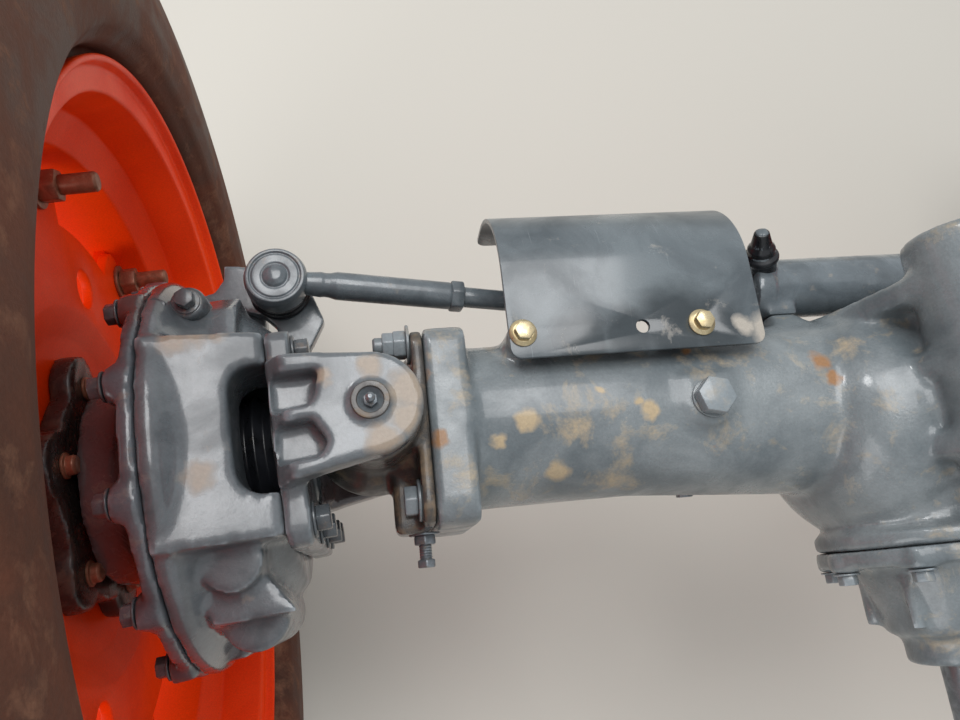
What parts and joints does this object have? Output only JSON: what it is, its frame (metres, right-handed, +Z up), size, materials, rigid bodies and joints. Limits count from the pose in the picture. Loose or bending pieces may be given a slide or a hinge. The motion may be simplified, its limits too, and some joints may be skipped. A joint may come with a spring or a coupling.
{
  "type": "farm tractor front drive axle",
  "caption": "Steered front drive axle of a farm tractor with lugged tyres, kingpin knuckles, final drive cases, tie rods and a steering cylinder.",
  "frame": {"origin": "middle of the centre pivot bore above the differential housing", "axes": "+X to the right-hand wheel, +Y forward along the pivot bore, +Z up"},
  "size_m": [1.7596, 1.0879, 1.0552],
  "materials": {
    "beam_paint": "gloss paint over rough casting",
    "case_paint": "gloss paint over casting",
    "cast_dark": "oily cast iron",
    "guard_paint": "satin paint on sheet",
    "rod_paint": "gloss paint",
    "bare_steel": "ground",
    "chrome_rod": "hard chrome",
    "rubber_boot": "moulded",
    "wheel_paint": "gloss paint",
    "hub_iron": "dark oily casting",
    "tyre_rubber": "muddy"
  },
  "bodies": {
    "axle": {"axle_housing": "beam_paint", "pinion_housing": "beam_paint", "input_shaft": "bare_steel", "steering_cylinder": "rod_paint", "kingpin_carrier_left": "cast_dark", "cylinder_guard_left": "guard_paint", "kingpin_carrier_right": "cast_dark", "cylinder_guard_right": "guard_paint"},
    "knuckle_left": {"knuckle_yoke_left": "case_paint", "final_case_left": "case_paint", "case_cover_left": "case_paint", "drive_joint_left": "rubber_boot", "steering_arm_left": "case_paint"},
    "wheel_left": {"wheel_hub_left": "hub_iron", "wheel_disc_left": "wheel_paint", "rim_left": "wheel_paint", "tyre_left": "tyre_rubber"},
    "tie_rod_left": {"tie_rod_left": "rod_paint", "ball_boot_left": "rubber_boot"},
    "knuckle_right": {"knuckle_yoke_right": "case_paint", "final_case_right": "case_paint", "case_cover_right": "case_paint", "drive_joint_right": "rubber_boot", "steering_arm_right": "case_paint"},
    "wheel_right": {"wheel_hub_right": "hub_iron", "wheel_disc_right": "wheel_paint", "rim_right": "wheel_paint", "tyre_right": "tyre_rubber"},
    "tie_rod_right": {"tie_rod_right": "rod_paint", "ball_boot_right": "rubber_boot"},
    "steering_rod": {"steering_rod": "chrome_rod"}
  },
  "joints": [
    {"name": "steer_left", "type": "hinge", "parent": "axle", "child": "knuckle_left", "pos_m": [-0.47, 0, -0.125], "axis": [0, 0, 1], "range_deg": [-40, 30]},
    {"name": "spin_left", "type": "hinge", "parent": "knuckle_left", "child": "wheel_left", "pos_m": [-0.47, 0, -0.156], "axis": [0.9962, 0.0872, 0], "continuous": true},
    {"name": "tie_left", "type": "hinge", "parent": "knuckle_left", "child": "tie_rod_left", "pos_m": [-0.54324, 0.13774, -0.125], "axis": [0, 0, 1], "range_deg": [-24.58, 32.6]},
    {"name": "steer_right", "type": "hinge", "parent": "axle", "child": "knuckle_right", "pos_m": [0.47, 0, -0.125], "axis": [0, 0, 1], "range_deg": [-40, 30]},
    {"name": "spin_right", "type": "hinge", "parent": "knuckle_right", "child": "wheel_right", "pos_m": [0.47, 0, -0.156], "axis": [0.9962, 0.0872, 0], "continuous": true},
    {"name": "tie_right", "type": "hinge", "parent": "knuckle_right", "child": "tie_rod_right", "pos_m": [0.51821, 0.14836, -0.125], "axis": [0, 0, 1], "range_deg": [-24.58, 32.6]},
    {"name": "rod_slide", "type": "slide", "parent": "axle", "child": "steering_rod", "axis": [1, 0, 0], "range_m": [-0.0708, 0.0941]}
  ],
  "couplings": [
    {"joint": "steer_right", "follows": "steer_left", "ratio": 1},
    {"joint": "tie_left", "follows": "steer_left", "ratio": -0.8026},
    {"joint": "tie_right", "follows": "steer_left", "ratio": -0.8026},
    {"joint": "rod_slide", "follows": "steer_left", "m_per_rad": -0.13332}
  ]
}
